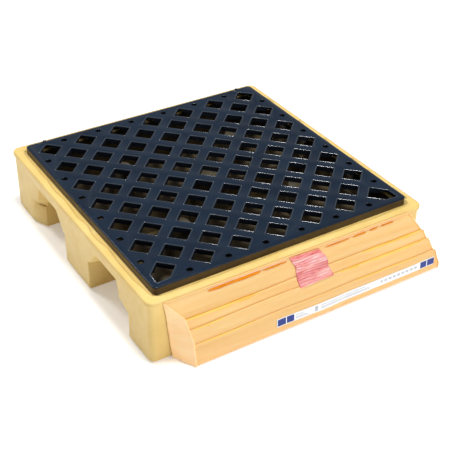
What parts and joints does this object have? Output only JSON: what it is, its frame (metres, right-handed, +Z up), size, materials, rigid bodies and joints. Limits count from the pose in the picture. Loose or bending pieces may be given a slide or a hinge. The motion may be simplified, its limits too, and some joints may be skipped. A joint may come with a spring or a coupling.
{
  "type": "spill containment pallet",
  "caption": "Low square spill containment deck: yellow moulded sump with fork pockets, black lift-off diamond grating and a folded overflow bladder on one wall.",
  "frame": {"origin": "middle of the deck on the floor that it stands on", "axes": "+Z up out of the grating; +X along the fork pockets; the bladder hangs on the -Y wall"},
  "size_m": [0.7025, 0.72, 0.167],
  "materials": {
    "sump_plastic": "rotomoulded polyethylene, satin",
    "grate_plastic": "moulded polyethylene, blue-black, semi-gloss",
    "column_plastic": "moulded polyethylene, satin",
    "gasket_rubber": "matt black rubber sheet",
    "bladder_film": "translucent folded film, satin",
    "clamp_steel": "rolled strip",
    "fastener_steel": "bright",
    "tie_tape": "translucent film tape",
    "marking_strip": "white film with blue end blocks"
  },
  "bodies": {
    "deck": {"sump_tray": "sump_plastic", "centre_column": "column_plastic", "support_post_1": "column_plastic", "support_post_2": "column_plastic", "support_post_3": "column_plastic", "support_post_4": "column_plastic", "outlet_gasket_outer": "gasket_rubber", "bladder_collar": "bladder_film", "clamp_frame_outer": "clamp_steel", "outlet_gasket_inner": "gasket_rubber", "clamp_frame_inner": "clamp_steel", "outlet_bolt_01": "fastener_steel", "outlet_washer_01": "fastener_steel", "outlet_nut_01": "fastener_steel", "outlet_bolt_02": "fastener_steel", "outlet_washer_02": "fastener_steel", "outlet_nut_02": "fastener_steel", "outlet_bolt_03": "fastener_steel", "outlet_washer_03": "fastener_steel", "outlet_nut_03": "fastener_steel", "outlet_bolt_04": "fastener_steel", "outlet_washer_04": "fastener_steel", "outlet_nut_04": "fastener_steel", "outlet_bolt_05": "fastener_steel", "outlet_washer_05": "fastener_steel", "outlet_nut_05": "fastener_steel", "outlet_bolt_06": "fastener_steel", "outlet_washer_06": "fastener_steel", "outlet_nut_06": "fastener_steel", "outlet_bolt_07": "fastener_steel", "outlet_washer_07": "fastener_steel", "outlet_nut_07": "fastener_steel", "outlet_bolt_08": "fastener_steel", "outlet_washer_08": "fastener_steel", "outlet_nut_08": "fastener_steel", "outlet_bolt_09": "fastener_steel", "outlet_washer_09": "fastener_steel", "outlet_nut_09": "fastener_steel", "outlet_bolt_10": "fastener_steel", "outlet_washer_10": "fastener_steel", "outlet_nut_10": "fastener_steel"},
    "grate": {"deck_grate": "grate_plastic"},
    "bladder": {"bladder_pack": "bladder_film", "tie_tape": "tie_tape", "marking_strip": "marking_strip"}
  },
  "joints": [
    {"name": "grate_lift", "type": "slide", "parent": "deck", "child": "grate", "axis": [0, 0, 1], "range_m": [0, 0.15]},
    {"name": "bladder_swing", "type": "hinge", "parent": "deck", "child": "bladder", "pos_m": [0, -0.337, 0.147], "axis": [-1, 0, 0], "range_deg": [0, 95]}
  ]
}
